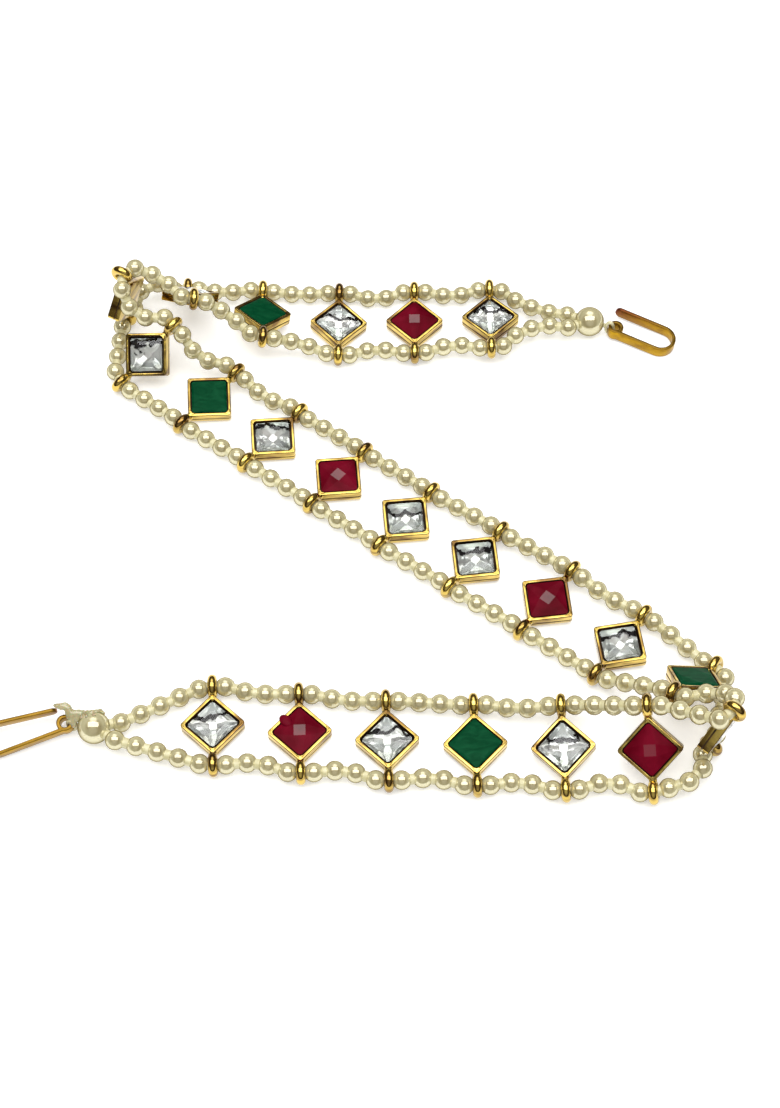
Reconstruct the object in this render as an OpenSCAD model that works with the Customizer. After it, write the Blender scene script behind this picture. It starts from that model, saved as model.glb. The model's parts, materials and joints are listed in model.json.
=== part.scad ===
// A matha patti that lies folded in three runs on a table. Two parallel strings of pearl
// beads carry square cut stones in gold boxes, set cornerwise. Each box has a gold ring
// soldered to two opposite corners, and each ring is threaded on one of the strings.
// At both ends the strings meet in a larger pearl, which is tied to a flat wire hook.

/* [Beads] */
// Diameter of a small pearl bead
bead_d = 3.66; // [2.5:0.01:5]
// Gap between two neighbouring beads
bead_gap = 0.1; // [0.05:0.01:0.3]
// Bore of a small bead at its middle
bead_bore = 1.1; // [0.7:0.05:1.4]
// Bore of a small bead at its mouths
bead_mouth = 2.2; // [1:0.05:2.2]
// Depth of the widened mouths of a bead
mouth_depth = 0.95; // [0.2:0.05:1]
// Beads of each string between two stones
bay_beads = 4; // [2:1:8]
// Beads of each string between the last stone and the end pearl
end_beads = 5; // [3:1:10]
// Diameter of the pearl at each end
pearl_d = 6; // [4.5:0.1:9]
// Bore of an end pearl, which takes the thread twice
pearl_bore = 1.8; // [1.4:0.05:2.4]
// Bore of an end pearl at its mouths
pearl_mouth = 3.8; // [2:0.1:4]
// Depth of the widened mouths of an end pearl
pearl_mouth_depth = 1.2; // [0.5:0.1:1.6]
// Angle of each string to the bore of the end pearl
string_spread = 25; // [22:1:40]

/* [Thread] */
// Diameter of the thread
thread_d = 0.25; // [0.2:0.05:0.5]
// Gap between the thread and what it ties
thread_gap = 0.2; // [0.1:0.01:0.25]
// Distance between the two lays of thread inside an end pearl
lay_apart = 0.6; // [0.5:0.05:1]

/* [Settings] */
// Side of the square gold box
box_side = 8.5; // [6:0.1:14]
// Height of the gold box
box_h = 2.5; // [1.6:0.1:5]
// Radius of the upright corners of the box
box_corner = 0.6; // [0.2:0.05:1.5]
// Width of the rim around the stone
rim_w = 0.7; // [0.4:0.05:1.2]
// Chamfer of the rim
rim_bevel = 0.2; // [0.05:0.05:0.4]
// Height of the rim above the middle of the rings
rim_up = 0.8; // [0.4:0.05:1.6]
// Depth of the seat under the rim
seat_depth = 1.4; // [0.8:0.1:3]
// Height of the groove in the wall
groove_w = 0.3; // [0.1:0.05:0.6]
// Depth of the groove in the wall
groove_depth = 0.12; // [0.05:0.01:0.3]
// Height of the groove above the underside
groove_up = 1; // [0.5:0.1:2]
// Outer diameter of a soldered ring
ring_d = 4.6; // [3.6:0.1:7]
// Thickness of the wire of a ring
ring_wire = 1.5; // [0.8:0.05:2]
// Gap between a ring and the bead next to it
ring_gap = 0.16; // [0.05:0.01:0.4]
// Depth of the solder joint between ring and box
solder = 0.25; // [0.1:0.05:0.5]

/* [Stones] */
// Gap between a stone and its seat
stone_gap = 0.06; // [0.03:0.01:0.2]
// Height of a stone's table above the rim
table_up = 0.7; // [0.3:0.05:1.5]
// Width of the table
table_w = 3.8; // [2:0.1:6]
// Width of the stone at the step between its two rows of facets
step_w = 5.6; // [3:0.1:7]
// Height of that step above the rim
step_up = 0.45; // [0.1:0.05:1]
// Depth of the girdle below the rim
girdle_down = 0.1; // [0.02:0.01:0.4]
// Cut-off corners of a stone, along its side
stone_clip = 0.5; // [0.1:0.05:1.2]

/* [Hooks] */
// Width of the flat wire
strip_w = 2.4; // [1.2:0.1:4]
// Thickness of the flat wire
strip_t = 0.7; // [0.4:0.05:1.2]
// Outer diameter of the eye
eye_d = 3.1; // [3:0.1:6]
// Distance between the middles of the two legs
leg_apart = 5.6; // [4.5:0.1:8]
// Length of the left hook from the eye's middle to the bend
left_leg_len = 12.4; // [6:0.1:20]
// Length of the left hook's free leg from the bend to its tip
left_tip_len = 10.4; // [5:0.1:20]
// Length of the right hook from the eye's middle to the bend
right_leg_len = 9.1; // [6:0.1:20]
// Length of the right hook's free leg from the bend to its tip
right_tip_len = 9.7; // [5:0.1:20]
// Distance from the eye's middle back to the leg's middle line
eye_off = 1; // [0:0.1:1]
// Gap between an eye and the end pearl
eye_gap = 0.9; // [0.55:0.05:2]
// Height at which the eye hangs above the table
eye_lift = 0.65; // [0.6:0.05:1.5]

/* [Glue skin] */
// Thickness of the skin of dried glue behind the left end pearl
skin_t = 1.2; // [0.6:0.1:1.4]
// Gap between the skin and the pearl
skin_gap = 0.15; // [0.1:0.01:0.4]
// Direction from the pearl at which the skin starts
skin_from = 50; // [45:1:90]
// Direction from the pearl at which the skin leaves it
skin_to = 120; // [100:1:125]
// Length of the skin's tail, which points away from the pearl
tail_len = 1.4; // [0.5:0.1:1.6]
// Direction of the tail
tail_way = 154; // [140:1:160]

/* [Hidden] */
$fn = 48;
eps = 0.01;

// Route of the band over the table, chosen by eye: number of the stone, place of its
// middle in x and y, direction of travel, and lean of the stone to the side. Rows 0 and
// 23 are the end pearls. Stones between two rows are spaced evenly.
route = [
    [0, -53.3, -38.3, -10, -14],
    [1, -32, -37.5, 3, 0],
    [3, -0.5, -40.5, 2, 0],
    [5, 31, -42.5, 0, 9],
    [6, 46, -44.5, -4, 38],
    [7, 58.5, -42, 52, 97],
    [8, 55, -30.5, 146, 33],
    [9, 42.5, -21, 142, 0],
    [12, 3, 6.5, 140, 0],
    [15, -36, 34.5, 139, -4],
    [16, -48.5, 42.5, 136, -33],
    [17, -53.5, 54.5, 66, -84],
    [18, -40.5, 57, 3, -44],
    [19, -26, 54.5, 0, -16],
    [20, -10.5, 53.5, 0, 0],
    [22, 20.5, 54.5, 0, -4],
    [23, 40.7, 53.6, -1, -14],
];
// Length of string between two stones for which the route was chosen
route_bay = 15.8;
// Middle of the lying band in the route's own places
route_mid = [-5.474, 5.919];
// Kind of each stone in travel order: clear, ruby or green
stone_kinds = "CRCGCRCGCRCCRCGCRCGCRC";

first = 1;
last = route[len(route) - 1][0] - 1;
pitch = bead_d + bead_gap;
ring_mid = (ring_d - ring_wire) / 2;
contact = (bead_d + ring_wire) / 2 + ring_gap;
box_reach = box_side / sqrt(2) - box_corner * (sqrt(2) - 1);
ring_reach = box_reach + ring_d / 2 - solder;
stone_w = box_side - 2 * rim_w - 2 * stone_gap;
ring_seat = seat(1);
bay_len = (bay_beads - 1) * pitch + 2 * ring_seat;
route_scale = bay_len / route_bay;
pearl_reach = (pearl_d + bead_d) / 2 + bead_gap;

up = [0, 0, 1];
// How much a string follows the straight line to the next ring where it leaves a ring
string_give = 0.65;
// How much a turn, rather than the inner side of the band, decides where slack bulges
turn_pull = 3;

function unit(v) = v / norm(v);

// Distance from a ring to the bead that touches it, for the cosine of the bead's tilt
function seat(c) =
    let (s = sqrt(max(0, 1 - c * c)))
    ring_mid * s + sqrt(pow(contact, 2) - pow(ring_mid * c, 2));

// Value of one column of the route at stone t, on a smooth curve through its rows
function rows() = [for (r = route) if (r[0] >= first && r[0] <= last) r];
function row_before(t) = max([for (i = [0 : len(rows()) - 2]) if (i == 0 || rows()[i][0] <= t) i]);
function slope_at(i, k) =
    let (a = rows()[max(0, i - 1)], b = rows()[min(len(rows()) - 1, i + 1)])
    (b[k] - a[k]) / (b[0] - a[0]);
function route_value(t, k) =
    let (i = row_before(t), a = rows()[i], b = rows()[i + 1], h = b[0] - a[0], u = (t - a[0]) / h)
    (2 * u ^ 3 - 3 * u ^ 2 + 1) * a[k] + (u ^ 3 - 2 * u ^ 2 + u) * h * slope_at(i, k)
    + (3 * u ^ 2 - 2 * u ^ 3) * b[k] + (u ^ 3 - u ^ 2) * h * slope_at(i + 1, k);

// Directions of a piece: along the band, across it and out of its face
function facing(heading, rise, lean) =
    let (
        along = [cos(heading) * cos(rise), sin(heading) * cos(rise), sin(rise)],
        side = [-sin(heading), cos(heading), 0],
        across = side * cos(lean) + cross(along, side) * sin(lean)
    )
    [along, across, cross(along, across)];

function on_table(c, h) =
    [(c[0] - route_mid[0]) * route_scale, (c[1] - route_mid[1]) * route_scale, h];

// Middles of the stones: each rests on its lower ring, or on a corner of its box
stone_cols = [for (t = [first : last]) [for (k = [1 : 4]) route_value(t, k)]];
ring_rest = [for (c = stone_cols) on_table(c, ring_d / 2 + ring_reach * abs(sin(c[3])))];
stone_rise = [for (i = [0 : last - first])
    let (d = ring_rest[min(last - first, i + 1)] - ring_rest[max(0, i - 1)])
    atan2(d.z, norm([d.x, d.y]))];
stone_mid = [for (i = [0 : last - first]) let (p = ring_rest[i], rise = stone_rise[i])
    [p.x, p.y, max(p.z, box_reach * abs(sin(rise)) + (box_h - rim_up) * cos(rise))]];
stone_face = [for (i = [0 : last - first])
    facing(stone_cols[i][2], stone_rise[i], stone_cols[i][3])];

// The strings: -1 is the lower one of the first run, 1 the upper one
function ring_at(i, s) = stone_mid[i] + stone_face[i][1] * ring_reach * s;

// Turn from link to link of a chain of n equal links that spans d links' length
function link_turn(d, n, lo = 0.01, hi = 0, steps = 24) =
    d >= n ? 0
    : steps == 0 ? (lo + hi) / 2
    : let (top = hi == 0 ? 356 / n : hi, mid = (lo + top) / 2)
        sin(n * mid / 2) / sin(mid / 2) > d
        ? link_turn(d, n, mid, top, steps - 1)
        : link_turn(d, n, lo, mid, steps - 1);

// Beads from p to q: evenly spread if the string is taut, else bowed to the given side
function chain(p, q, n, bow) =
    let (
        v = q - p, d = norm(v), u = v / d, s = unit(bow - u * (bow * u)),
        a = link_turn(d / pitch, n)
    )
    a == 0 ? [for (k = [0 : n]) p + v * k / n]
    : let (r = pitch / (2 * sin(a / 2)))
        [for (k = [0 : n]) let (b = (k - n / 2) * a)
            p + u * (d / 2 + r * sin(b)) + s * r * (cos(b) - cos(n * a / 2))];

// Step from a ring to its bead, which leans a little toward where the string goes
function lead(along, v) =
    let (d = unit(along + string_give * unit(v)))
    d * seat(d * along);

function bay(i, s) =
    let (
        a = ring_at(i, s), b = ring_at(i + 1, s),
        fa = stone_face[i], fb = stone_face[i + 1],
        bow = turn_pull * (fa[0] - fb[0]) - s * (fa[1] + fb[1]) / 2
    )
    chain(a + lead(fa[0], b - a), b - lead(fb[0], b - a), bay_beads - 1, bow);

// The end pearls, and the beads between them and the last stones; e is -1 at the left
function pearl_row(e) = route[e < 0 ? 0 : len(route) - 1];
function pearl_mid(e) = on_table([for (k = [1, 2]) pearl_row(e)[k]], pearl_d / 2);
function pearl_face(e) = facing(pearl_row(e)[3], 0, pearl_row(e)[4]);
function end_stone(e) = e < 0 ? 0 : last - first;

function end_bay(e, s) =
    let (
        f = pearl_face(e), g = stone_face[end_stone(e)], ring = ring_at(end_stone(e), s),
        out = unit(-e * f[0] * cos(string_spread) + s * f[1] * sin(string_spread)),
        start = pearl_mid(e) + out * pearl_reach,
        stop = ring + e * lead(g[0], (start - ring) * e),
        bow = turn_pull * (out + e * g[0]) / 3 - s * (f[1] + g[1]) / 2
    )
    chain(start, stop, end_beads - 1, bow);

function reversed(v) = [for (i = [len(v) - 1 : -1 : 0]) v[i]];
function joined(v) = [for (a = v) for (b = a) b];

// Every point of a string in order, as place and kind: 1 a bead, 0 the middle of a ring.
// No bead sinks into the table
function tagged(v, kind) = [for (p = v) [[p.x, p.y, max(p.z, bead_d / 2)], kind]];
function string_points(s) = joined([
    tagged(end_bay(-1, s), 1),
    for (i = [0 : last - first]) concat(
        [[ring_at(i, s), 0]],
        i < last - first ? tagged(bay(i, s), 1) : tagged(reversed(end_bay(1, s)), 1)
    ),
]);
lower_string = string_points(-1);
upper_string = string_points(1);

// Direction of the bore of a bead: halfway between the ways from and to its neighbours
function axis_at(pts, i, before, after) =
    let (p = pts[i][0], q = i + 1 < len(pts) ? pts[i + 1][0] : after, o = i > 0 ? pts[i - 1][0] : before)
    unit(unit(q - p) + unit(p - o));

// Hooks: where the eye lies from its pearl, and how the hook is turned; side is the side
// of the eye's leg on which the free leg lies, roll and splay turn the free leg
// [x, y of the eye from the pearl, heading, side, roll, splay]
hook_lay = [
    [-5.8, 1.2, 202, -1, 12, 8],
    [5.3, -1.3, -26, 1, 0, 0],
];
function hook_row(e) = hook_lay[e < 0 ? 0 : 1];
function leg_len(e) = e < 0 ? left_leg_len : right_leg_len;
function tip_len(e) = e < 0 ? left_tip_len : right_tip_len;
function eye_way(e) = unit([hook_row(e)[0], hook_row(e)[1], 0]);
eye_dist = pearl_d / 2 + eye_gap + eye_d / 2;
bend_out = (leg_apart + strip_t) / 2;
// Half the height of a rolled eye, and the drop of a hook that brings its bend to the table
function eye_half(e) = strip_w / 2 * cos(hook_row(e)[4]) + eye_d / 2 * sin(hook_row(e)[4]);
function hook_dip(e) =
    asin((eye_lift + (eye_d / 2 - eye_off - strip_t / 2) * sin(hook_row(e)[4])) / (leg_len(e) + bend_out));
function eye_mid(e) =
    let (p = pearl_mid(e) + eye_way(e) * eye_dist) [p.x, p.y, eye_lift + eye_half(e)];

// The thread: one closed loop through both strings, both end pearls and both eyes
thread_r = thread_d / 2;
thread_sides = 5;

// Through the bores of a string, with a point midway between two beads. In a ring the
// thread lies toward the inner side of the bend
ring_slack = (ring_d / 2 - ring_wire) / 2;
function bead_pass(pts, before, after) = joined([for (i = [0 : len(pts) - 1])
    let (p = pts[i][0], a = axis_at(pts, i, before, after), in = bead_d / 2 - mouth_depth)
    pts[i][1] == 0 ? [[p + ring_slack * unit(unit(pts[i + 1][0] - p) + unit(pts[i - 1][0] - p)), a]]
    : concat(
        [[p - a * in, a], [p + a * in, a]],
        i + 1 < len(pts) && pts[i + 1][1] == 1 ? [[(p + pts[i + 1][0]) / 2, a]] : []
    )]);

function pearl_lay(e, s, at) =
    pearl_mid(e) + pearl_face(e)[0] * e * at - up * s * lay_apart / 2;

// Around the wall of an eye, in the upright plane of pearl and eye
function eye_pass(e) =
    let (
        w = eye_way(e), p = pearl_mid(e),
        wall_out = eye_dist - eye_d / 2 - thread_gap - thread_r,
        wall_in = eye_dist - eye_d / 2 + strip_t + 2 * thread_gap + thread_r,
        top = eye_lift + 2 * eye_half(e) + eye_d / 2 * sin(hook_dip(e)) + thread_gap + thread_r - p.z,
        low = eye_lift - thread_gap - thread_r - p.z,
        over = max(top, lay_apart / 2)
    )
    [for (q = [[wall_out, over], [wall_in, over], [wall_in, low], [wall_out, low],
               [wall_out, -lay_apart]])
        p + w * q[0] + up * q[1]];

function pearl_pass(e, s) =
    [for (at = [-pearl_d / 2 + pearl_mouth_depth, 0, pearl_d / 2]) pearl_lay(e, s, at)];

function flat_side(v) = unit(cross(up, v));
function with_side(pts, v) = [for (p = pts) [p, flat_side(v)]];

thread_path = concat(
    with_side(reversed(pearl_pass(-1, -1)), pearl_face(-1)[0]),
    [for (q = bead_pass(lower_string, pearl_mid(-1), pearl_mid(1))) [q[0], flat_side(q[1])]],
    with_side(pearl_pass(1, -1), pearl_face(1)[0]),
    with_side(eye_pass(1), eye_way(1)),
    with_side(reversed(pearl_pass(1, 1)), pearl_face(1)[0]),
    [for (q = reversed(bead_pass(upper_string, pearl_mid(-1), pearl_mid(1)))) [q[0], flat_side(q[1])]],
    with_side(pearl_pass(-1, 1), pearl_face(-1)[0]),
    with_side(reversed(eye_pass(-1)), -eye_way(-1))
);

function thread_ring(i) =
    let (
        n = len(thread_path), p = thread_path[i][0],
        way = unit(unit(thread_path[(i + 1) % n][0] - p) + unit(p - thread_path[(i + n - 1) % n][0])),
        a = unit(thread_path[i][1] - way * (thread_path[i][1] * way)), b = cross(way, a)
    )
    [for (k = [0 : thread_sides - 1]) let (t = 360 * k / thread_sides)
        p + thread_r * (a * cos(t) + b * sin(t))];

module placed(mid, face) {
    multmatrix([
        [face[0].x, face[1].x, face[2].x, mid.x],
        [face[0].y, face[1].y, face[2].y, mid.y],
        [face[0].z, face[1].z, face[2].z, mid.z],
    ]) children();
}

module along(p, a) {
    translate(p) rotate([0, acos(a.z), atan2(a.y, a.x)]) children();
}

// Block with rounded upright corners, standing on z = 0
module rounded_block(w, h, r) {
    for (turned = [0, 90]) rotate([0, 0, turned])
        translate([0, 0, h / 2]) cube([w, w - 2 * r, h], center = true);
    for (x = [-1, 1], y = [-1, 1])
        translate([x * (w / 2 - r), y * (w / 2 - r), 0]) cylinder(r = r, h = h);
}

module bored_ball(d, bore, mouth, depth) {
    difference() {
        sphere(d = d);
        cylinder(d = bore, h = d + 2 * eps, center = true);
        for (turned = [0, 180]) rotate([turned, 0, 0])
            translate([0, 0, d / 2 - depth]) cylinder(d1 = bore, d2 = mouth, h = depth + eps);
    }
}

module solder_ring() {
    rotate([0, 90, 0]) rotate_extrude() translate([ring_mid, 0]) circle(d = ring_wire);
}

module box() {
    translate([0, 0, rim_up - box_h]) rotate([0, 0, 45]) difference() {
        rounded_block(box_side, box_h, box_corner);
        translate([0, 0, box_h - seat_depth])
            rounded_block(stone_w + 2 * stone_gap, seat_depth + eps, box_corner / 2);
        for (turned = [0 : 90 : 270]) rotate([0, 0, turned]) {
            translate([box_side / 2, 0, box_h]) rotate([0, 45, 0])
                cube([rim_bevel * sqrt(2), box_side + 2, rim_bevel * sqrt(2)], center = true);
            translate([box_side / 2, 0, groove_up])
                cube([2 * groove_depth, box_side - 2 * box_corner, groove_w], center = true);
        }
    }
}

module setting(i) {
    color("goldenrod") placed(stone_mid[i], stone_face[i]) union() {
        box();
        for (s = [-1, 1]) translate([0, s * ring_reach, 0]) solder_ring();
    }
}

// Outline of a cut stone of the given width at height z: a square with cut corners
function stone_outline(w, z) =
    let (h = w / 2, c = h - stone_clip * w / stone_w)
    [for (p = [[h, -c], [h, c], [c, h], [-c, h], [-h, c], [-h, -c], [-c, -h], [c, -h]])
        [p[0], p[1], z]];

module stone(i) {
    kind = stone_kinds[i];
    tint = kind == "R" ? "darkred" : kind == "G" ? "darkgreen" : "lightgray";
    levels = [
        [stone_w - 2 * stone_clip, rim_up - seat_depth + stone_gap],
        [stone_w, rim_up - girdle_down - seat_depth / 3],
        [stone_w, rim_up - girdle_down],
        [step_w, rim_up + step_up],
        [table_w, rim_up + table_up],
    ];
    points = [for (l = levels) each stone_outline(l[0], l[1])];
    m = 8;
    n = len(levels);
    faces = concat(
        [[for (k = [0 : m - 1]) k]],
        [for (l = [0 : n - 2]) for (k = [0 : m - 1])
            [l * m + k, (l + 1) * m + k, (l + 1) * m + (k + 1) % m, l * m + (k + 1) % m]],
        [[for (k = [m - 1 : -1 : 0]) (n - 1) * m + k]]
    );
    color(tint) placed(stone_mid[i], stone_face[i]) rotate([0, 0, 45])
        polyhedron(points = points, faces = faces, convexity = 2);
}

module bead_string(s) {
    pts = s < 0 ? lower_string : upper_string;
    color("ivory") for (i = [0 : len(pts) - 1]) if (pts[i][1] == 1)
        along(pts[i][0], axis_at(pts, i, pearl_mid(-1), pearl_mid(1)))
            bored_ball(bead_d, bead_bore, bead_mouth, mouth_depth);
}

module end_pearl(e) {
    color("ivory") along(pearl_mid(e), pearl_face(e)[0])
        bored_ball(pearl_d, pearl_bore, pearl_mouth, pearl_mouth_depth);
}

module thread() {
    n = len(thread_path);
    m = thread_sides;
    points = [for (i = [0 : n - 1]) each thread_ring(i)];
    faces = [for (i = [0 : n - 1]) for (k = [0 : m - 1])
        [i * m + k, ((i + 1) % n) * m + k, ((i + 1) % n) * m + (k + 1) % m, i * m + (k + 1) % m]];
    color("beige") polyhedron(points = points, faces = faces, convexity = 20);
}

// Flat wire hook with its eye at the origin, its legs along x and its wire on edge
module hook_shape(leg_len, tip_len, splay) {
    module strip(len) {
        translate([len / 2, 0, 0]) cube([len, strip_t, strip_w], center = true);
    }
    difference() {
        union() {
            cylinder(d = eye_d, h = strip_w, center = true);
            translate([0, -eye_off, 0]) strip(leg_len);
        }
        cylinder(d = eye_d - 2 * strip_t, h = strip_w + 2, center = true);
    }
    translate([leg_len, leg_apart / 2 - eye_off, 0]) {
        rotate([0, 0, -90]) rotate_extrude(angle = 180 + splay)
            translate([leg_apart / 2, 0]) square([strip_t, strip_w], center = true);
        rotate([0, 0, splay]) translate([0, leg_apart / 2, 0]) mirror([1, 0, 0]) {
            strip(tip_len);
            translate([tip_len, 0, 0]) rotate([90, 0, 0])
                cylinder(d = strip_w, h = strip_t, center = true);
        }
    }
}

module hook(e) {
    row = hook_row(e);
    color("darkgoldenrod") translate(eye_mid(e)) rotate([0, 0, row[2]]) rotate([0, hook_dip(e), 0])
        rotate([row[4] * row[3], 0, 0]) mirror([0, row[3] < 0 ? 1 : 0, 0]) hook_shape(leg_len(e), tip_len(e), row[5]);
}

// Middles of the drops of which the glue skin is drawn: an arc, and then the tail
skin_steps = 4;
skin_path = [
    for (k = [0 : skin_steps]) let (t = skin_from + (skin_to - skin_from) * k / skin_steps)
        (pearl_d / 2 + skin_gap + skin_t / 2) * [cos(t), sin(t), 0],
];
skin_end = skin_path[skin_steps] + tail_len * [cos(tail_way), sin(tail_way), 0];

module glue_skin() {
    drops = concat(skin_path, [skin_end]);
    color("beige") translate(pearl_mid(-1)) for (k = [1 : len(drops) - 1]) hull()
        for (p = [drops[k - 1], drops[k]]) translate(p) sphere(d = skin_t, $fn = 16);
}

function two_digits(i) = str(i < 10 ? "0" : "", i);
function setting_name(i) = str("setting_", two_digits(i + first));
function stone_name(i) = str("stone_", two_digits(i + first));

for (i = [0 : last - first]) {
    setting(i);
    stone(i);
}
bead_string(-1);  // bead_string_lower
bead_string(1);  // bead_string_upper
end_pearl(-1);  // end_pearl_left
end_pearl(1);  // end_pearl_right
thread();
hook(-1);  // hook_left
hook(1);  // hook_right
glue_skin();
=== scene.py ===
import json
import math

import bmesh
import bpy
import numpy as np
from mathutils import Matrix, Vector

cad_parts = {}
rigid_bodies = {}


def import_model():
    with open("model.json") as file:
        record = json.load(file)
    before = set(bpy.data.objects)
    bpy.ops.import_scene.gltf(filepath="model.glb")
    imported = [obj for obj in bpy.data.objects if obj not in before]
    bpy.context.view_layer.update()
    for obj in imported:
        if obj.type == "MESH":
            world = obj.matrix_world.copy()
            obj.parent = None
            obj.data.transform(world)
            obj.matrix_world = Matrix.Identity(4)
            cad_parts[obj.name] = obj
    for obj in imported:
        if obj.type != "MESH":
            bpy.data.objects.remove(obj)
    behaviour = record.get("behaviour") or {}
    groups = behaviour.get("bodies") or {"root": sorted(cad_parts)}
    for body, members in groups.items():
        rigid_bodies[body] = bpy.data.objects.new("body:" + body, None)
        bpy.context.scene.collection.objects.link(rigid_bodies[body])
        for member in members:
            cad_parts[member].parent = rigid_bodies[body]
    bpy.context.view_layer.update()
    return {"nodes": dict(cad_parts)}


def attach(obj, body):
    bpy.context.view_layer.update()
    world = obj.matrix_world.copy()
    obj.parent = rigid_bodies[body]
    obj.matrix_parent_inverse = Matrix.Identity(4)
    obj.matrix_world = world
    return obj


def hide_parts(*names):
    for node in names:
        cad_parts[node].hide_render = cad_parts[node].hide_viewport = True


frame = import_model()
bpy.ops.object.select_all(action="DESELECT")
nodes = frame["nodes"]
mm = 0.001
closeBy = 0.01 * mm    # points nearer than this count as one

# the camera stands where the photo was taken, in front of the band and above it
cameraSet = {
    "lens": 64.0,
    "elevation": 58.9,
    "distance": 376.9 * mm,
    "aim": (5.47 * mm, -5.92 * mm, 0),
    "nearest": 0.01,
}
photoTilt = math.radians(cameraSet["elevation"])
forward = Vector((0, -math.cos(photoTilt), math.sin(photoTilt)))    # out of the photo
upward = Vector((0, math.sin(photoTilt), math.cos(photoTilt)))    # up in the photo


def addCamera():
    place = Vector(cameraSet["aim"]) + forward * cameraSet["distance"]
    bpy.ops.object.camera_add(location=place, rotation=(math.pi / 2 - photoTilt, 0, 0))
    camera = bpy.context.object
    camera.data.lens = cameraSet["lens"]
    camera.data.clip_start = cameraSet["nearest"]
    bpy.context.scene.camera = camera


addCamera()
bpy.context.scene.view_settings.view_transform = "Standard"
print("camera placed")


# finishes, all made of shader nodes

def startMaterial(name, values):
    material = bpy.data.materials.new(name)
    material.use_nodes = True
    tree = material.node_tree
    shader = tree.nodes["Principled BSDF"]
    for socket, value in values.items():
        shader.inputs[socket].default_value = value
    return material, tree, shader


def addNoise(tree, scale, detail=3, stretch=(1, 1, 1)):
    place = tree.nodes.new("ShaderNodeTexCoord")
    mapping = tree.nodes.new("ShaderNodeMapping")
    mapping.inputs["Scale"].default_value = stretch
    noise = tree.nodes.new("ShaderNodeTexNoise")
    noise.inputs["Scale"].default_value = scale
    noise.inputs["Detail"].default_value = detail
    tree.links.new(place.outputs["Object"], mapping.inputs["Vector"])
    tree.links.new(mapping.outputs["Vector"], noise.inputs["Vector"])
    return noise


def addRamp(tree, source, stops, target=None):
    # a stop is a place and its colour; the colours also go to the target where there is one
    ramp = tree.nodes.new("ShaderNodeValToRGB")
    while len(ramp.color_ramp.elements) < len(stops):
        ramp.color_ramp.elements.new(0.5)
    for element, (position, colour) in zip(ramp.color_ramp.elements, stops):
        element.position = position
        element.color = (*colour, 1)
    tree.links.new(source, ramp.inputs["Fac"])
    if target:
        tree.links.new(ramp.outputs["Color"], target)
    return ramp.outputs["Color"]


def mottle(tree, noise, finish, target=None):
    # the noise turns from the finish's dark colour to its light one
    low, high = finish["turn"]
    stops = [(low, finish["dark"]), (high, finish["light"])]
    return addRamp(tree, noise.outputs["Fac"], stops, target)


def varyRoughness(tree, shader, noise, low, high):
    stops = [(0.3, (low, low, low)), (0.7, (high, high, high))]
    addRamp(tree, noise.outputs["Fac"], stops, shader.inputs["Roughness"])


def addBump(tree, shader, noise, strength, distance):
    bump = tree.nodes.new("ShaderNodeBump")
    bump.inputs["Strength"].default_value = strength
    bump.inputs["Distance"].default_value = distance
    tree.links.new(noise.outputs["Fac"], bump.inputs["Height"])
    tree.links.new(bump.outputs["Normal"], shader.inputs["Normal"])


def addMix(tree, blend, factor, first, second):
    # the last three are sockets to link or plain values
    mix = tree.nodes.new("ShaderNodeMix")
    mix.data_type = "RGBA"
    mix.blend_type = blend
    for socket, value in (("Factor", factor), ("A", first), ("B", second)):
        if isinstance(value, bpy.types.NodeSocket):
            tree.links.new(value, mix.inputs[socket])
        else:
            mix.inputs[socket].default_value = value
    return mix.outputs["Result"]


goldSet = {
    "light": (0.63, 0.45, 0.09),
    "dark": (0.17, 0.085, 0.008),
    "turn": (0.36, 0.56),
    "patches": 300,
    "streaks": (0.5, 0.5, 2.2),    # streaks run along the walls
    "roughness": (0.05, 0.16),
    "ripple": 820,
    "bump": (0.3, 0.1 * mm),
}
# painted shade: the dark finish in the seat and in the groove of a box, and in the line round its
# rim
paintedShadeSet = {
    "light": (0.1, 0.045, 0.012),
    "dark": (0.02, 0.01, 0.005),
    "turn": (0.35, 0.65),
    "shadeMottle": 500,
}


def makeGold():
    material, tree, shader = startMaterial("platedGold", {
        "Metallic": 1.0, "Coat Weight": 0.3, "Coat IOR": 1.8, "Coat Roughness": 0.05})
    patches = addNoise(tree, goldSet["patches"], 3, goldSet["streaks"])
    mottle(tree, patches, goldSet, shader.inputs["Base Color"])
    varyRoughness(tree, shader, patches, *goldSet["roughness"])
    addBump(tree, shader, addNoise(tree, goldSet["ripple"], 2), *goldSet["bump"])
    return material


# painted shade: a dark finish that stands for the shade in a box's hollows
def makePaintedShade():
    material, tree, shader = startMaterial("paintedRecessShade", {"Metallic": 0.4, "Roughness": 0.35})
    mottle(tree, addNoise(tree, paintedShadeSet["shadeMottle"]), paintedShadeSet, shader.inputs["Base Color"])
    return material


pearlSet = {
    "heart": (0.42, 0.36, 0.18),
    "halo": (0.69, 0.64, 0.38),
    "edge": (0.25, 0.2, 0.08),
    # painted sheen and reflection in the base colour, from the middle of a pearl out to its edge
    "rings": ((0.07, "heart"), (0.2, "halo"), (0.45, "halo"), (0.74, "edge")),
    "glint": ((0.35, (1, 1, 1)), (0.62, (0.04, 0.04, 0.04))),
    "clouds": 170,
    "light": (1, 1, 1),
    "dark": (0.86, 0.84, 0.8),
    "turn": (0.3, 0.6),
    "roughness": (0.1, 0.18),
}


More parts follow.
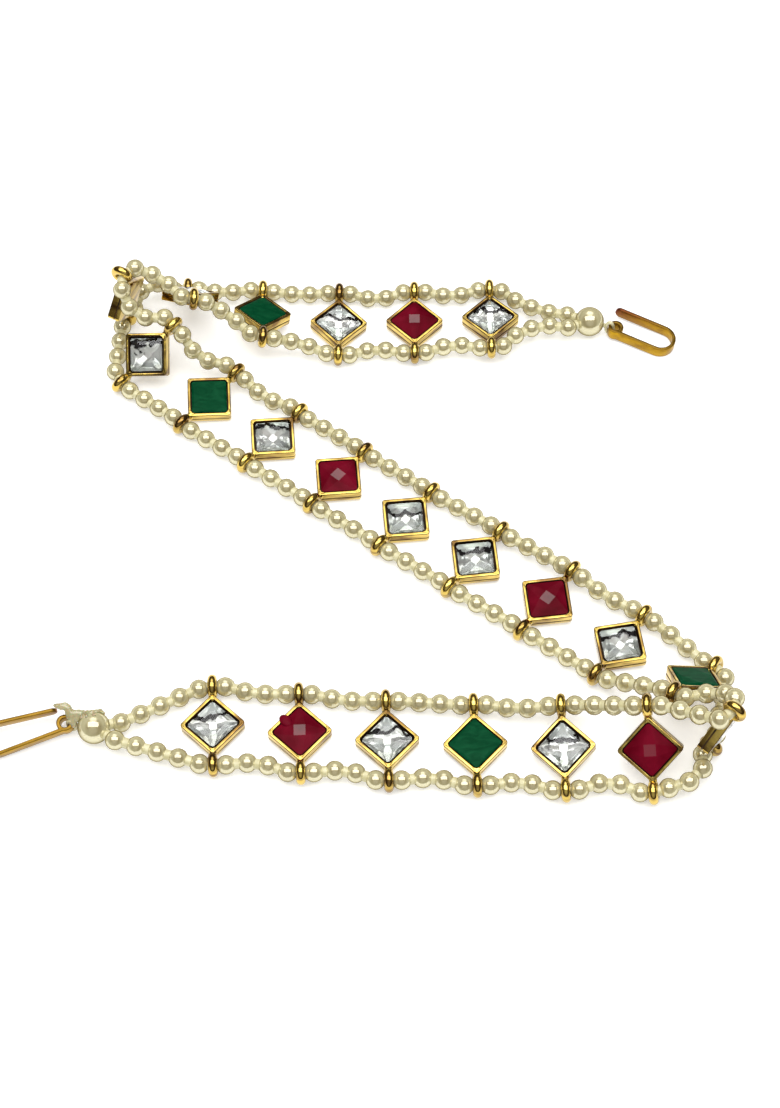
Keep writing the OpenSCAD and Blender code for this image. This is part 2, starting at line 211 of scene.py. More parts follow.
def makePearl():
    material, tree, shader = startMaterial("pearlCoat", {
        "Metallic": 0.3, "Specular Tint": (0.6, 0.56, 0.38, 1),
        "Coat Roughness": 0.04, "Coat IOR": 2.0})
    clouds = addNoise(tree, pearlSet["clouds"])
    lustre = tree.nodes.new("ShaderNodeLayerWeight")
    lustre.inputs["Blend"].default_value = 0.5
    facing = lustre.outputs["Facing"]
    # painted reflection: the base colour turns by how far the surface faces away from the view
    paintedSheen = addRamp(tree, facing, [(place, pearlSet[part]) for place, part in pearlSet["rings"]])
    glint = addRamp(tree, facing, pearlSet["glint"], shader.inputs["Coat Weight"])
    tree.links.new(glint, shader.inputs["Specular IOR Level"])
    colour = addMix(tree, "MULTIPLY", 1.0, paintedSheen, mottle(tree, clouds, pearlSet))
    tree.links.new(colour, shader.inputs["Base Color"])
    varyRoughness(tree, shader, clouds, *pearlSet["roughness"])
    return material


neckSet = {
    "light": (0.7, 0.66, 0.42),
    "dark": (0.54, 0.49, 0.26),
    "turn": (0.35, 0.65),
    "plies": 900,
    "bump": (0.4, 0.1 * mm),
}


def makeNeck():
    material, tree, shader = startMaterial("waxedThread", {"Roughness": 0.4, "Coat Weight": 0.3})
    plies = addNoise(tree, neckSet["plies"])
    mottle(tree, plies, neckSet, shader.inputs["Base Color"])
    addBump(tree, shader, plies, *neckSet["bump"])
    return material


# the same glass twice: dull on the facets and bright on the small table
rubySet = {
    "light": (0.15, 0.003, 0.014),
    "dark": (0.08, 0.0005, 0.005),
    "turn": (0.35, 0.65),
    "clouds": 210,
    "facets": {"Roughness": 0.3, "Specular IOR Level": 0.03},
    "table": {"Roughness": 0.05, "Specular IOR Level": 0.63},
}


def makeRuby(name, shine):
    material, tree, shader = startMaterial(name, shine)
    mottle(tree, addNoise(tree, rubySet["clouds"], 2), rubySet, shader.inputs["Base Color"])
    return material


emeraldSet = {
    "light": (0.004, 0.07, 0.026),
    "dark": (0.0005, 0.043, 0.015),
    "turn": (0.38, 0.72),
    "swirl": 260,
    "stretch": (1, 2.2, 1),
    "twist": 1.5,
    "bump": (0.12, 0.1 * mm),
}


def makeEmerald():
    material, tree, shader = startMaterial("emeraldGlass", {
        "Roughness": 0.3, "Specular IOR Level": 0.02})
    swirl = addNoise(tree, emeraldSet["swirl"], 4, emeraldSet["stretch"])
    swirl.inputs["Distortion"].default_value = emeraldSet["twist"]
    mottle(tree, swirl, emeraldSet, shader.inputs["Base Color"])
    addBump(tree, shader, swirl, *emeraldSet["bump"])
    return material


crystalSet = {
    "light": (1, 1, 1),
    "dark": (0.9, 0.95, 0.92),
    "turn": (0.4, 0.6),
    "streaks": 420,
    "stretch": (0.35, 1, 1),
}


def makeCrystal():
    material, tree, shader = startMaterial("clearCrystal", {
        "Transmission Weight": 1.0, "Roughness": 0.0, "IOR": 1.5})
    streaks = addNoise(tree, crystalSet["streaks"], 2, crystalSet["stretch"])
    mottle(tree, streaks, crystalSet, shader.inputs["Base Color"])
    return material


# the silver foil behind a clear stone, with painted reflections: pale near the viewer,
# white in the middle, and then black where it would mirror the dark
foilSet = {
    "pale": (0.66, 0.68, 0.62),
    "milky": (0.82, 0.85, 0.84),
    "white": (1, 1, 0.98),
    "black": (0.012, 0.01, 0.014),
    "bands": (0.3, 0.48, 0.63, 0.78),    # from the near side of the stone to its far side
    "blurs": (0.08, 0.02, 0.04),
    "creases": 420,
    "stretch": (0.8, 0.6, 1),
    "waver": 0.55,    # how far the creases move the bands
    "lift": 0.27,    # what they add to a band on average
    "map": "farWay",
    "mapWidth": 1.4,    # in sides of a stone
}


def makeFoil():
    material, tree, shader = startMaterial("silverFoil", {"Metallic": 0.62, "Roughness": 0.1})
    place = tree.nodes.new("ShaderNodeUVMap")
    place.uv_map = foilSet["map"]
    split = tree.nodes.new("ShaderNodeSeparateXYZ")
    tree.links.new(place.outputs["UV"], split.inputs["Vector"])
    creases = addNoise(tree, foilSet["creases"], 3, foilSet["stretch"])
    shift = tree.nodes.new("ShaderNodeMath")
    shift.operation = "MULTIPLY_ADD"
    tree.links.new(creases.outputs["Fac"], shift.inputs[0])
    shift.inputs[1].default_value = foilSet["waver"]
    tree.links.new(split.outputs["Y"], shift.inputs[2])
    near, middle, far, end = (band + foilSet["lift"] for band in foilSet["bands"])
    wide, sharp, soft = foilSet["blurs"]
    bands = ((near, "pale"), (near + wide, "milky"), (middle, "white"), (far, "white"),
             (far + sharp, "black"), (end, "black"), (end + soft, "milky"))
    addRamp(tree, shift.outputs["Value"], [(band, foilSet[tone]) for band, tone in bands],
            shader.inputs["Base Color"])
    return material


def mapPaintedReflection(stone, middle):
    # the map lies the same way on every stone, so that all have their painted dark reflection on
    # the far side
    lay = stone.data.uv_layers.new(name=foilSet["map"])
    width = foilSet["mapWidth"]
    for corner in stone.data.loops:
        away = (stone.data.vertices[corner.vertex_index].co - middle) / stoneSet["side"]
        lay.data[corner.index].uv = (away.x / width + 0.5, away.y / width + 0.5)


# flat brass wire with brown edges, and red where the tip was heated
wireSet = {
    "light": (0.48, 0.28, 0.01),
    "dark": (0.29, 0.155, 0.008),
    "turn": (0.35, 0.6),
    "tints": {"edgeBrown": (0.17, 0.095, 0.01), "tipHeat": (0.13, 0.012, 0.01)},
    "rub": 700,
    "stretch": (0.4, 1, 1),
    "roughness": (0.25, 0.45),
    "bump": (0.3, 0.08 * mm),
}


def makeWire():
    material, tree, shader = startMaterial("bareWire", {"Metallic": 0.9})
    rub = addNoise(tree, wireSet["rub"], 4, wireSet["stretch"])
    colour = mottle(tree, rub, wireSet)
    for attribute, tint in wireSet["tints"].items():
        amount = tree.nodes.new("ShaderNodeAttribute")
        amount.attribute_name = attribute
        colour = addMix(tree, "MIX", amount.outputs["Fac"], colour, (*tint, 1))
    tree.links.new(colour, shader.inputs["Base Color"])
    varyRoughness(tree, shader, rub, *wireSet["roughness"])
    addBump(tree, shader, rub, *wireSet["bump"])
    return material


glueSet = {
    "light": (0.6, 0.56, 0.35),
    "dark": (0.44, 0.39, 0.2),
    "turn": (0.35, 0.65),
    "clouds": 300,
    "bump": (0.2, 0.15 * mm),
}


def makeGlue():
    material, tree, shader = startMaterial("driedGlue", {
        "Roughness": 0.2, "Transmission Weight": 0.3, "IOR": 1.4, "Coat Weight": 0.8,
        "Coat Roughness": 0.1, "Subsurface Weight": 0.4, "Subsurface Scale": 1.0 * mm})
    clouds = addNoise(tree, glueSet["clouds"])
    mottle(tree, clouds, glueSet, shader.inputs["Base Color"])
    addBump(tree, shader, clouds, *glueSet["bump"])
    return material


gold = makeGold()
paintedShade = makePaintedShade()
pearl = makePearl()
neck = makeNeck()
stoneFinish = {
    "ruby": makeRuby("rubyGlass", rubySet["facets"]),
    "emerald": makeEmerald(),
    "crystal": makeCrystal(),
}
wire = makeWire()
glue = makeGlue()
foil = makeFoil()
rubyTable = makeRuby("rubyTable", rubySet["table"])
print("materials made")


# floor and light

studio = {
    "floor": 3.0,
    "glow": 0.42,
    "room": (0.86, 0.86, 0.86),
    "box": {"place": (0.0, -0.07, 0.75), "size": (1.1, 0.5), "energy": 7.2},
    # dark at the horizon, grey above
    "haze": ((0.06, (0.035, 0.022, 0.01)), (0.36, (0.15, 0.13, 0.11))),
    "back": {"height": 60, "edge": (0.9, 0.975), "colour": (1, 0.99, 0.97), "strength": 2.4},
    "front": {"height": 44, "edge": (0.76, 0.95), "colour": (0.9, 0.97, 1), "strength": 0.5},
}


def addFloor():
    material, _, _ = startMaterial("paleFloor", {
        "Base Color": (0.8, 0.8, 0.8, 1), "Roughness": 0.8, "Specular IOR Level": 0.1,
        "Emission Color": (1, 1, 1, 1), "Emission Strength": studio["glow"]})
    bpy.ops.mesh.primitive_plane_add(size=studio["floor"], location=(0, 0, 0))
    floor = bpy.context.object
    floor.name = "floor"
    floor.data.materials.append(material)


def addLobe(tree, way, lobe, side):
    # a soft round patch of light in the sky, behind the band or in front of it
    angle = math.radians(lobe["height"])
    near = tree.nodes.new("ShaderNodeVectorMath")
    near.operation = "DOT_PRODUCT"
    near.inputs[1].default_value = (0, side * math.cos(angle), math.sin(angle))
    tree.links.new(way, near.inputs[0])
    low, high = lobe["edge"]
    patch = addRamp(tree, near.outputs["Value"], [(low, (0, 0, 0)), (high, lobe["colour"])])
    gain = tree.nodes.new("ShaderNodeVectorMath")
    gain.operation = "SCALE"
    gain.inputs["Scale"].default_value = lobe["strength"]
    tree.links.new(patch, gain.inputs[0])
    return gain.outputs["Vector"]


def addWorld():
    world = bpy.data.worlds.new("studio")
    bpy.context.scene.world = world
    world.use_nodes = True
    tree = world.node_tree
    way = tree.nodes.new("ShaderNodeTexCoord").outputs["Generated"]
    split = tree.nodes.new("ShaderNodeSeparateXYZ")
    tree.links.new(way, split.inputs["Vector"])
    light = addRamp(tree, split.outputs["Z"], studio["haze"])
    for lobe, side in (("back", 1), ("front", -1)):
        light = addMix(tree, "ADD", 1.0, light, addLobe(tree, way, studio[lobe], side))
    # the picture itself shows a pale room behind the floor
    ray = tree.nodes.new("ShaderNodeLightPath")
    room = addMix(tree, "MIX", ray.outputs["Is Camera Ray"], light, (*studio["room"], 1))
    tree.links.new(room, tree.nodes["Background"].inputs["Color"])


def addSoftBox():
    box = studio["box"]
    turn = (-Vector(box["place"])).to_track_quat("-Z", "Y").to_euler()
    bpy.ops.object.light_add(type="AREA", location=box["place"], rotation=turn)
    light = bpy.context.object.data
    light.shape = "RECTANGLE"
    light.size, light.size_y = box["size"]
    light.energy = box["energy"]


addFloor()
addWorld()
addSoftBox()
print("studio set")


# the places of the pieces, read from the frame

ringSet = {"outer": 4.6 * mm, "wire": 1.75 * mm}
boxSet = {
    "side": 8.5 * mm,
    "height": 2.5 * mm,
    "rimUp": 0.8 * mm,    # the rim's top above the rings' middles
    "corner": 0.6 * mm,
    "rim": 0.62 * mm,
    "seat": 2.05 * mm,
    "edge": 0.16 * mm,
    "groove": (0.85 * mm, 1.15 * mm),
    "grooveDepth": 0.12 * mm,
    # the painted shade line round the rim's outer edge: how far down it reaches, and on which
    # slopes
    "shadeLineDown": 0.2 * mm,
    "shadeLineSlope": (0.15, 0.8),
}


def nodePoints(name):
    mesh = nodes[name].data
    points = np.empty(len(mesh.vertices) * 3)
    mesh.vertices.foreach_get("co", points)
    return points.reshape(-1, 3)


def boxMiddle(points):
    return (points.min(axis=0) + points.max(axis=0)) / 2


def mainAxes(points):
    centred = points - points.mean(axis=0)
    return np.linalg.eigh(centred.T @ centred)[1].T


def flatArea(faces):
    return sum(face.area for face in faces)


def largestFlat(faces):
    flats = {}
    for face in faces:
        flats.setdefault(tuple(round(value, 2) for value in face.normal), []).append(face)
    return max(flats.values(), key=flatArea)


def settingPlace(number):
    # a box has its largest flat faces below and in the seat, and then its four sides
    faces = nodes[f"setting_{number:02d}"].data.polygons
    points = nodePoints(f"setting_{number:02d}")
    up = np.array(largestFlat(faces)[0].normal)
    if (nodePoints(f"stone_{number:02d}").mean(axis=0) - points.mean(axis=0)) @ up < 0:
        up = -up
    under = [face for face in faces if np.dot(face.normal, up) < -0.999]
    level = np.dot(max(under, key=lambda face: face.area).center, up)
    under = [face for face in under if abs(np.dot(face.center, up) - level) < 2 * closeBy]
    middle = sum(np.array(face.center) * face.area for face in under) / flatArea(under)
    middle += up * (boxSet["height"] - boxSet["rimUp"])
    walls = [face for face in faces if abs(np.dot(face.normal, up)) < 0.01]
    side = np.array(largestFlat(walls)[0].normal)
    other = np.cross(up, side)
    ringWay = mainAxes(points)[2]
    across = max((side + other, side - other), key=lambda way: abs(way @ ringWay)) / math.sqrt(2)
    reach = points @ across
    turn = Matrix((np.cross(across, up), across, up)).transposed().to_4x4()
    return {
        "middle": middle,
        "across": across,
        "ringReach": (reach.max() - reach.min() - ringSet["outer"]) / 2,
        "matrix": Matrix.Translation(middle) @ turn,
    }


def looseMiddles(name):
    # the middle of each bead, which is a loose solid of its string's node
    bm = bmesh.new()
    bm.from_mesh(nodes[name].data)
    bmesh.ops.remove_doubles(bm, verts=bm.verts, dist=closeBy)
    seen = set()
    middles = []
    for start in bm.verts:
        if start in seen:
            continue
        seen.add(start)
        group, todo = [], [start]
        while todo:
            vertex = todo.pop()
            group.append(vertex.co)
            for edge in vertex.link_edges:
                other = edge.other_vert(vertex)
                if other not in seen:
                    seen.add(other)
                    todo.append(other)
        middles.append(boxMiddle(np.array(group)))
    bm.free()
    return middles


places = [settingPlace(number) for number in range(1, 23)]
pearls = {side: boxMiddle(nodePoints(f"end_pearl_{side}")) for side in ("left", "right")}
print("settings found", len(places))


def stringOrder(name):
    # walks from the left end pearl to the next nearest bead or ring
    todo = [(point, "bead") for point in looseMiddles(name)]
    for place in places:
        for side in (-1, 1):
            todo.append((place["middle"] + side * place["across"] * place["ringReach"], "ring"))
    here = pearls["left"]
    walk = []
    while sum(kind == "bead" for _, kind in todo):
        nearest = min(range(len(todo)), key=lambda i: np.linalg.norm(todo[i][0] - here))
        walk.append(todo.pop(nearest))
        here = walk[-1][0]
    return walk


strings = {side: stringOrder(f"bead_string_{side}") for side in ("lower", "upper")}
for side, walk in strings.items():
    steps = [np.linalg.norm(a[0] - b[0]) for a, b in zip(walk, walk[1:])]
    print("string", side, len(walk), "longest step", round(max(steps) / mm, 2))


# modelling helpers

def activePiece(name):
    piece = bpy.context.object
    piece.name = name
    piece.data.name = name
    return piece


def chooseOnly(piece):
    bpy.ops.object.select_all(action="DESELECT")
    piece.select_set(True)
    bpy.context.view_layer.objects.active = piece


def applyPlace(piece):
    chooseOnly(piece)
    bpy.ops.object.transform_apply(location=True, rotation=True, scale=True)


def editPiece(piece, kind="FACE"):
    chooseOnly(piece)
    bpy.ops.object.mode_set(mode="EDIT")
    bpy.ops.mesh.select_mode(type=kind)
    bpy.ops.mesh.select_all(action="DESELECT")


def pick(piece, kind, wanted):
    bpy.ops.mesh.select_mode(type=kind)
    bpy.ops.mesh.select_all(action="DESELECT")
    bm = bmesh.from_edit_mesh(piece.data)
    for item in (bm.faces if kind == "FACE" else bm.edges):
        if wanted(item):
            item.select_set(True)
    bm.select_flush_mode()
    bmesh.update_edit_mesh(piece.data)


def leaveEdit():
    bpy.ops.object.mode_set(mode="OBJECT")


def joinPieces(pieces, name):
    chooseOnly(pieces[0])
    for piece in pieces:
        piece.select_set(True)
    bpy.ops.object.join()
    return activePiece(name)


def addModifier(piece, kind, **values):
    chooseOnly(piece)
    modifier = piece.modifiers.new(kind, kind)
    for name, value in values.items():
        setattr(modifier, name, value)
    bpy.ops.object.modifier_apply(modifier=modifier.name)


def smooth(piece, angle):
    chooseOnly(piece)
    bpy.ops.object.shade_smooth_by_angle(angle=math.radians(angle))


def copyTo(model, matrix, name):
    piece = model.copy()
    piece.data = model.data.copy()
    piece.name = name
    piece.data.name = name
    bpy.context.collection.objects.link(piece)
    piece.data.transform(matrix)
    return piece


def settle(piece, node):
    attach(piece, "root")
    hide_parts(node)


# gold settings

def isOutline(edge, level):
    # an edge at this height that borders on a wall
    flat = all(abs(vertex.co.z - level) < closeBy for vertex in edge.verts)
    return flat and any(abs(face.normal.z) < 0.5 for face in edge.link_faces)


def makeBox():
    side, top = boxSet["side"], boxSet["rimUp"]
    bottom = top - boxSet["height"]
    bpy.ops.mesh.primitive_cube_add(
        size=1, location=(0, 0, (top + bottom) / 2), scale=(side, side, boxSet["height"]))
    box = activePiece("boxModel")
    applyPlace(box)
    editPiece(box)
    pick(box, "EDGE", lambda e: abs(e.verts[0].co.z - e.verts[1].co.z) > mm)
    bpy.ops.mesh.bevel(offset=boxSet["corner"], segments=5, affect="EDGES")
    low, high = (bottom + height for height in boxSet["groove"])
    for height in (low, high):
        bpy.ops.mesh.select_all(action="SELECT")
        bpy.ops.mesh.bisect(plane_co=(0, 0, height), plane_no=(0, 0, 1))
    box.data.materials.append(gold)
    box.data.materials.append(paintedShade)
    box.active_material_index = 1
    # painted shade: the groove round the walls is given the dark finish
    pick(box, "FACE", lambda f: low < f.calc_center_median().z < high and abs(f.normal.z) < 0.5)
    bpy.ops.mesh.extrude_region_shrink_fatten(
        TRANSFORM_OT_shrink_fatten={"value": -boxSet["grooveDepth"]})
    bpy.ops.object.material_slot_assign()
    # painted shade: the seat inside the rim, with its walls, is given the dark finish
    pick(box, "FACE", lambda f: f.normal.z > 0.9 and f.calc_center_median().z > top - closeBy)
    bpy.ops.mesh.inset(thickness=boxSet["rim"])
    bpy.ops.mesh.extrude_region_move(TRANSFORM_OT_translate={"value": (0, 0, -boxSet["seat"])})
    bpy.ops.mesh.select_more()
    bpy.ops.object.material_slot_assign()
    for level, segments in ((top, 3), (bottom, 2)):
        pick(box, "EDGE", lambda e: isOutline(e, level))
        bpy.ops.mesh.bevel(offset=boxSet["edge"], segments=segments, affect="EDGES")
    # painted shade: a dark line on the sloping faces round the rim's outer edge
    shadeLineEnd = top - boxSet["shadeLineDown"]
    flat, steep = boxSet["shadeLineSlope"]
    pick(box, "FACE", lambda f: f.calc_center_median().z > shadeLineEnd and flat < f.normal.z < steep)
    bpy.ops.object.material_slot_assign()
    leaveEdit()
    box.data.transform(Matrix.Rotation(math.pi / 4, 4, "Z"))
    return box


solderSet = {"size": 0.85 * mm, "scale": (0.9, 1, 0.9)}


def makeRings(reach):
    # a ring at each of two opposite corners, with its drop of solder
    parts = []
    for side in (-1, 1):
        bpy.ops.mesh.primitive_torus_add(
            location=(0, side * reach, 0), rotation=(0, math.pi / 2, 0),
            major_segments=40, minor_segments=16,
            major_radius=(ringSet["outer"] - ringSet["wire"]) / 2, minor_radius=ringSet["wire"] / 2)
        parts.append(activePiece("ringModel"))
        joint = side * (reach - ringSet["outer"] / 2)
        bpy.ops.mesh.primitive_ico_sphere_add(
            subdivisions=3, radius=solderSet["size"],
            location=(0, joint, 0), scale=solderSet["scale"])
        parts.append(activePiece("solderModel"))
    for part in parts:
        part.data.materials.append(gold)
        applyPlace(part)
    return parts


settingModel = joinPieces([makeBox()] + makeRings(places[0]["ringReach"]), "settingModel")
smooth(settingModel, 32)
for number, place in enumerate(places, 1):
    setting = copyTo(settingModel, place["matrix"], f"goldSetting{number:02d}")
    settle(setting, f"setting_{number:02d}")
bpy.data.objects.remove(settingModel)
print("settings modelled")


# cut stones

stoneSet = {
    "side": 6.95 * mm,
    "bevel": 0.04 * mm,
    "order": "C R C G C R C G C R C C R C G C R C G C R C".split(),
    # outlines from the back up to the table: half the side, the clip of the corners and the
    # height, in mm, and the turn in degrees
    "ruby": ((3.175, 0.35, -0.55, 0), (3.475, 0.35, 0.68, 0), (2.53, 1.0, 0.98, 0),
             (1.55 / math.sqrt(2), 0.02, 1.28, 45)),
    "emerald": ((3.175, 0.35, -0.55, 0), (3.475, 0.35, 0.68, 0), (3.036, 1.0, 0.88, 0),
                (3.0 / math.sqrt(2), 0.02, 1.0, 45)),
    "crystal": ((0.7, 0.2, -1.1, 45), (2.3, 0.9, -0.35, 0), (3.325, 0.35, 0.45, 0),
                (2.75, 0.8, 0.8, 0), (1.9, 0.6, 1.08, 0)),
}
kindNames = {"C": "crystal", "R": "ruby", "G": "emerald"}


def squareOutline(half, clip, height, turned):
    # eight points: a square whose corners are clipped
    points = []
    for corner in range(4):
        angle = math.radians(45 + 90 * corner + turned)
        out = Vector((math.cos(angle), math.sin(angle), 0)) * half * math.sqrt(2)
        for side in (angle - math.pi / 4, angle + math.pi / 4):
            back = Vector((math.cos(side), math.sin(side), 0)) * clip
            points.append((out - back + Vector((0, 0, height))) * mm)
    return points


def makeStone(kind):
    # a hull over the outlines gives the facets
    bpy.ops.mesh.primitive_plane_add(size=mm)
    stone = activePiece(kind + "Model")
    editPiece(stone, "VERT")
    bpy.ops.mesh.select_all(action="SELECT")
    bpy.ops.mesh.delete(type="VERT")
    bm = bmesh.from_edit_mesh(stone.data)
    for outline in stoneSet[kind]:
        for point in squareOutline(*outline):
            bm.verts.new(point)
    bmesh.update_edit_mesh(stone.data)
    bpy.ops.mesh.select_all(action="SELECT")
    bpy.ops.mesh.convex_hull()
    bpy.ops.mesh.select_all(action="SELECT")
    bpy.ops.mesh.dissolve_limited(angle_limit=math.radians(1))
    bpy.ops.mesh.select_all(action="SELECT")
    bpy.ops.mesh.bevel(offset=stoneSet["bevel"], segments=1, affect="EDGES")
    leaveEdit()
    stone.data.transform(Matrix.Rotation(math.pi / 4, 4, "Z"))
    stone.data.materials.append(stoneFinish[kind])
    if kind != "emerald":
        stone.data.materials.append(foil if kind == "crystal" else rubyTable)
        for face in stone.data.polygons:
            up = face.normal.z
            face.material_index = int(up < -0.05 if kind == "crystal" else up > 0.999)
    return stone


# at station 2 the red glass has run over the rim
overflowSet = {
    "station": 2,
    "radius": 1.25 * mm,
    "scale": (1.15, 0.8, 0.42),
    "turned": 45,
    "away": (-2.5 * mm, 1.95 * mm, 0.92 * mm),
}


def addOverflow(stone, middle):
    bpy.ops.mesh.primitive_uv_sphere_add(
        segments=24, ring_count=16, radius=overflowSet["radius"], scale=overflowSet["scale"])
    blob = activePiece("overflow")
    applyPlace(blob)
    editPiece(blob)
    bpy.ops.mesh.select_all(action="SELECT")
    bpy.ops.transform.rotate(
        value=math.radians(overflowSet["turned"]), orient_axis="Z", center_override=(0, 0, 0))
    leaveEdit()
    smooth(blob, 80)
    blob.data.transform(Matrix.Translation(middle + Vector(overflowSet["away"])))
    blob.data.materials.append(stoneFinish["ruby"])
    return joinPieces([stone, blob], stone.name)


stoneModels = {kind: makeStone(kind) for kind in stoneFinish}
for number, (place, letter) in enumerate(zip(places, stoneSet["order"]), 1):
    kind = kindNames[letter]
    matrix = place["matrix"]
    stone = copyTo(stoneModels[kind], matrix, f"{kind}Stone{number:02d}")
    if kind == "crystal":
        mapPaintedReflection(stone, matrix.translation)
    if number == overflowSet["station"]:
        stone = addOverflow(stone, matrix.translation)
    settle(stone, f"stone_{number:02d}")
for model in stoneModels.values():
    bpy.data.objects.remove(model)
print("stones cut")


# pearl beads

beadSet = {
    "radius": 1.81 * mm, "segments": 16, "rings": 9, "hole": 0.65 * mm, "dip": 0.3 * mm,
    "uneven": (-0.025, 0.012), "spin": (0, 6.28),
}
endPearlSet = {
    "radius": 2.99 * mm, "segments": 48, "rings": 32, "hole": 0.9 * mm, "dip": 0.8 * mm,
    "spin": 0.3,
}


def makeBead(sizes, name):
    bpy.ops.mesh.primitive_uv_sphere_add(
        segments=sizes["segments"], ring_count=sizes["rings"], radius=sizes["radius"])
    bead = activePiece(name)
    mouth = math.sqrt(sizes["radius"] ** 2 - sizes["hole"] ** 2)
    editPiece(bead)
    for side in (-1, 1):
        pick(bead, "FACE", lambda f: side * f.calc_center_median().z > mouth)
        bpy.ops.mesh.extrude_region_move(
            TRANSFORM_OT_translate={"value": (0, 0, -side * sizes["dip"])})
    leaveEdit()
    smooth(bead, 50)
    return bead


def beadMatrix(point, way, spin, size):
    turn = Vector(way).to_track_quat("Z", "Y").to_matrix().to_4x4()
    turn = turn @ Matrix.Rotation(spin, 4, "Z")
    return Matrix.Translation(point) @ turn @ Matrix.Diagonal((*size, 1))


def wayAt(walk, index, first, last):
    before = walk[index - 1][0] if index else first
    after = walk[index + 1][0] if index + 1 < len(walk) else last
    toNext, fromLast = after - walk[index][0], walk[index][0] - before
    return toNext / np.linalg.norm(toNext) + fromLast / np.linalg.norm(fromLast)


beadModel = makeBead(beadSet, "beadModel")
luck = np.random.default_rng(7)
for side, walk in strings.items():
    beads = []
    for index, (point, kind) in enumerate(walk):
        if kind == "bead":
            way = wayAt(walk, index, pearls["left"], pearls["right"])
            size = 1 + luck.uniform(*beadSet["uneven"], 3)
            matrix = beadMatrix(point, way, luck.uniform(*beadSet["spin"]), size)
            beads.append(copyTo(beadModel, matrix, "bead"))
    string = joinPieces(beads, f"pearlString{side.title()}")
    string.data.materials.append(pearl)
    settle(string, f"bead_string_{side}")
bpy.data.objects.remove(beadModel)

endPearlModel = makeBead(endPearlSet, "endPearlModel")
for side, middle in pearls.items():
    # its hole follows the level main axis that runs along the band
    axes = mainAxes(nodePoints(f"end_pearl_{side}"))
    way = min(axes, key=lambda a: abs(a[2]) + (0 if abs(a[0]) > 0.7 else 9))
    matrix = beadMatrix(middle, way, endPearlSet["spin"], (1, 1, 1))
    endPearl = copyTo(endPearlModel, matrix, f"endPearl{side.title()}")
    endPearl.data.materials.append(pearl)
    settle(endPearl, f"end_pearl_{side}")
bpy.data.objects.remove(endPearlModel)
print("pearls strung")


# thread, with the pale necks of coating between the beads

hookEnds = {"left": (-0.979, 0.203), "right": (0.971, -0.238)}    # the way out to each hook
threadSet = {
    "neck": 1.02 * mm,
    "loop": 0.34 * mm,
    "loopHalf": (0.75 * mm, 1.75 * mm),    # outwards and upwards
    "loopDown": 0.75 * mm,
    "eyeOut": 4.25 * mm,
    "tail": (2.4 * mm, 3.3 * mm),    # where it starts and ends, from the end pearl's middle
    "tailDown": 0.4 * mm,
    "tailWidth": 1.3,
}


def makeTube(points, radius, name, closed=False):
    curve = bpy.data.curves.new(name, "CURVE")
    curve.dimensions = "3D"
    curve.bevel_depth = radius
    curve.bevel_resolution = 3
    curve.resolution_u = 3
    curve.use_fill_caps = not closed
    spline = curve.splines.new("NURBS")
    spline.points.add(len(points) - 1)
    for spot, point in zip(spline.points, points):
        spot.co = (*point, 1)
    spline.order_u = 3
    spline.use_endpoint_u = not closed
    spline.use_cyclic_u = closed
    tube = bpy.data.objects.new(name, curve)
    bpy.context.collection.objects.link(tube)
    chooseOnly(tube)
    bpy.ops.object.convert(target="MESH")
    return bpy.context.object


def makeLoop(side):
    # the loop of thread that holds the hook's eye, and the tail that it comes from
    out = np.array((*hookEnds[side], 0))
    up = np.array((0, 0, 1))
    wide, high = threadSet["loopHalf"]
    middle = pearls[side] + out * threadSet["eyeOut"] - up * threadSet["loopDown"]
    turns = np.linspace(0, 2 * math.pi, 12, endpoint=False)
    loop = [middle + out * wide * math.cos(t) + up * high * math.sin(t) for t in turns]
    start, end = (pearls[side] + out * away for away in threadSet["tail"])
    tail = [start, end - up * threadSet["tailDown"]]
    return [makeTube(loop, threadSet["loop"], "loopTube", True),
            makeTube(tail, threadSet["loop"] * threadSet["tailWidth"], "tailTube")]


tubes = []
for walk in strings.values():
    points = [pearls["left"]] + [point for point, _ in walk] + [pearls["right"]]
    tubes.append(makeTube(points, threadSet["neck"], "neckTube"))
for side in hookEnds:
    tubes += makeLoop(side)
thread = joinPieces(tubes, "waxedThread")
smooth(thread, 60)
thread.data.materials.append(neck)
settle(thread, "thread")
print("thread laid")


# hooks: copies of the solid strips with their edges rounded and one reddish tip

hookSet = {
    "edge": 0.14 * mm,
    "eyeMiddle": 5.5 * mm,    # from the end pearl's middle
    "eyeRadius": 2.6 * mm,
    "heatLength": {"left": 0.9 * mm, "right": 2.7 * mm},
    "heatFade": 0.5,
    # brown on the narrow edges, which look up and down: how fast it comes in, and from where
    "brownGain": 2.2,
    "brownStart": 0.7,
}


def makeHook(side):
    node = nodes[f"hook_{side}"]
    hook = node.copy()
    hook.data = node.data.copy()
    bpy.context.collection.objects.link(hook)
    hook.name = f"wireHook{side.title()}"
    hook.parent = None
    editPiece(hook, "VERT")
    bpy.ops.mesh.select_all(action="SELECT")
    bpy.ops.mesh.remove_doubles(threshold=closeBy)
    bpy.ops.mesh.dissolve_limited(angle_limit=math.radians(3))
    leaveEdit()
    addModifier(hook, "BEVEL", width=hookSet["edge"], segments=2, angle_limit=math.radians(50))
    smooth(hook, 40)
    hook.data.materials.clear()
    hook.data.materials.append(wire)
    return hook


def tipPoint(hook, side):
    # the tip is the point of the free leg that comes back nearest to the end pearl, off the eye
    pearlMiddle = Vector(pearls[side])
    eye = pearlMiddle + Vector((*hookEnds[side], 0)) * hookSet["eyeMiddle"]
    far = [v.co for v in hook.data.vertices if (v.co - eye).to_2d().length > hookSet["eyeRadius"]]
    return min(far, key=lambda p: (p - pearlMiddle).length)


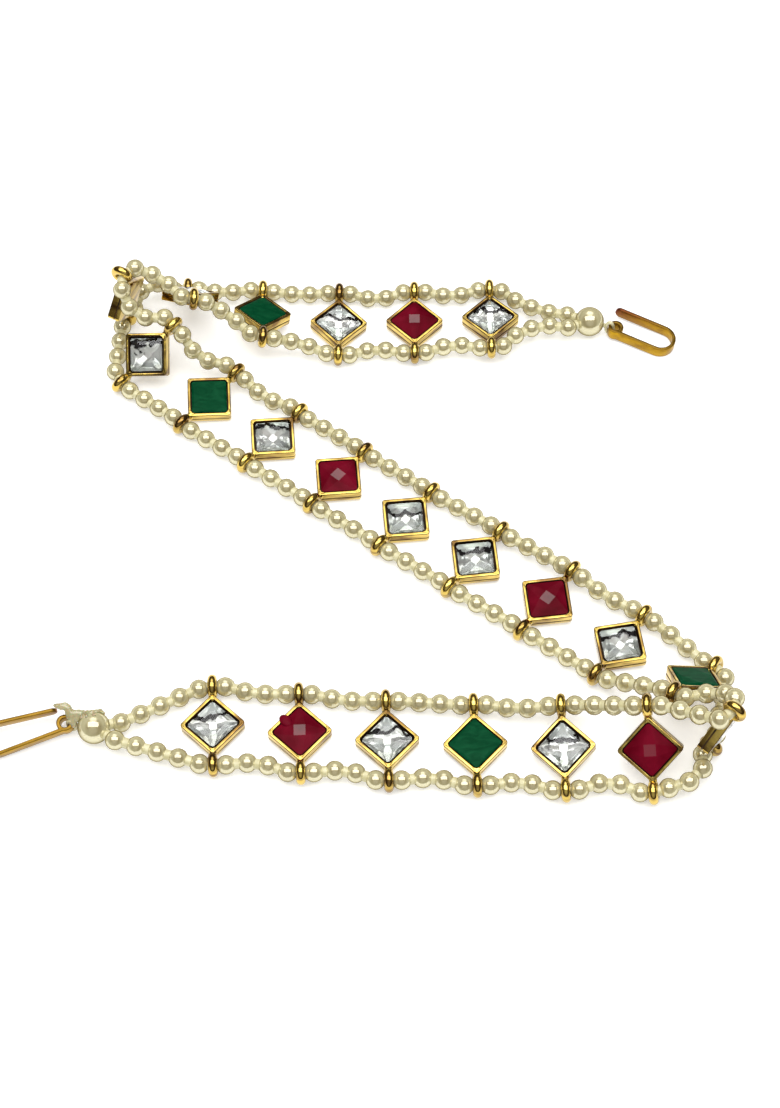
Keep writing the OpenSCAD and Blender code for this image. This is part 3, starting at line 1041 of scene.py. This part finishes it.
def paintHook(hook, side):
    tip = tipPoint(hook, side)
    heat = hook.data.attributes.new("tipHeat", "FLOAT", "POINT")
    for index, vertex in enumerate(hook.data.vertices):
        away = (vertex.co - tip).length / hookSet["heatLength"][side]
        heat.data[index].value = max(0, 1 - away) ** hookSet["heatFade"]
    brown = hook.data.attributes.new("edgeBrown", "FLOAT", "FACE")
    for index, face in enumerate(hook.data.polygons):
        share = hookSet["brownGain"] * abs(face.normal.z) - hookSet["brownStart"]
        brown.data[index].value = max(0, min(1, share))


for side in ("left", "right"):
    hook = makeHook(side)
    paintHook(hook, side)
    settle(hook, f"hook_{side}")
print("hooks made")


# skin of dried glue

skinSet = {
    # place of each drop in the photo's plane, in mm from the pearl's middle, and its size
    "drops": (
        (-7.1, 4.0, 0.35), (-6.6, 3.9, 0.55), (-5.9, 3.8, 0.7), (-5.2, 3.9, 0.75),
        (-4.7, 3.5, 0.8), (-4.5, 2.8, 0.8), (-4.3, 2.0, 0.8), (-4.0, 1.2, 0.75),
        (-3.6, 0.5, 0.6), (-3.5, 2.5, 0.8), (-2.7, 2.6, 0.75), (-1.9, 2.6, 0.7),
        (-1.1, 2.65, 0.65), (-0.3, 2.75, 0.62), (0.5, 2.85, 0.6), (1.15, 3.05, 0.48),
        (1.75, 2.55, 0.4), (-2.9, 1.6, 0.6), (-2.0, 1.9, 0.5), (-1.0, 2.1, 0.45),
        (0.3, 2.3, 0.4)),
    "pearlRadius": 2.95,    # the drops over the pearl lie on it
    "voxel": 0.16 * mm,
    "softening": 16,
}


def makeSkin():
    drops = []
    for right, up, size in skinSet["drops"]:
        rise = math.sqrt(max(0, skinSet["pearlRadius"] ** 2 - right ** 2 - up ** 2))
        away = Vector((right, 0, 0)) + upward * up + forward * rise
        place = Vector(pearls["left"]) + away * mm
        bpy.ops.mesh.primitive_ico_sphere_add(subdivisions=3, radius=size * mm, location=place)
        drop = activePiece("glueDrop")
        applyPlace(drop)
        drops.append(drop)
    skin = joinPieces(drops, "glueSkin")
    addModifier(skin, "REMESH", mode="VOXEL", voxel_size=skinSet["voxel"])
    addModifier(skin, "SMOOTH", iterations=skinSet["softening"])
    bpy.ops.object.shade_smooth()
    skin.data.materials.append(glue)
    settle(skin, "glue_skin")


makeSkin()
print("glue skin made")
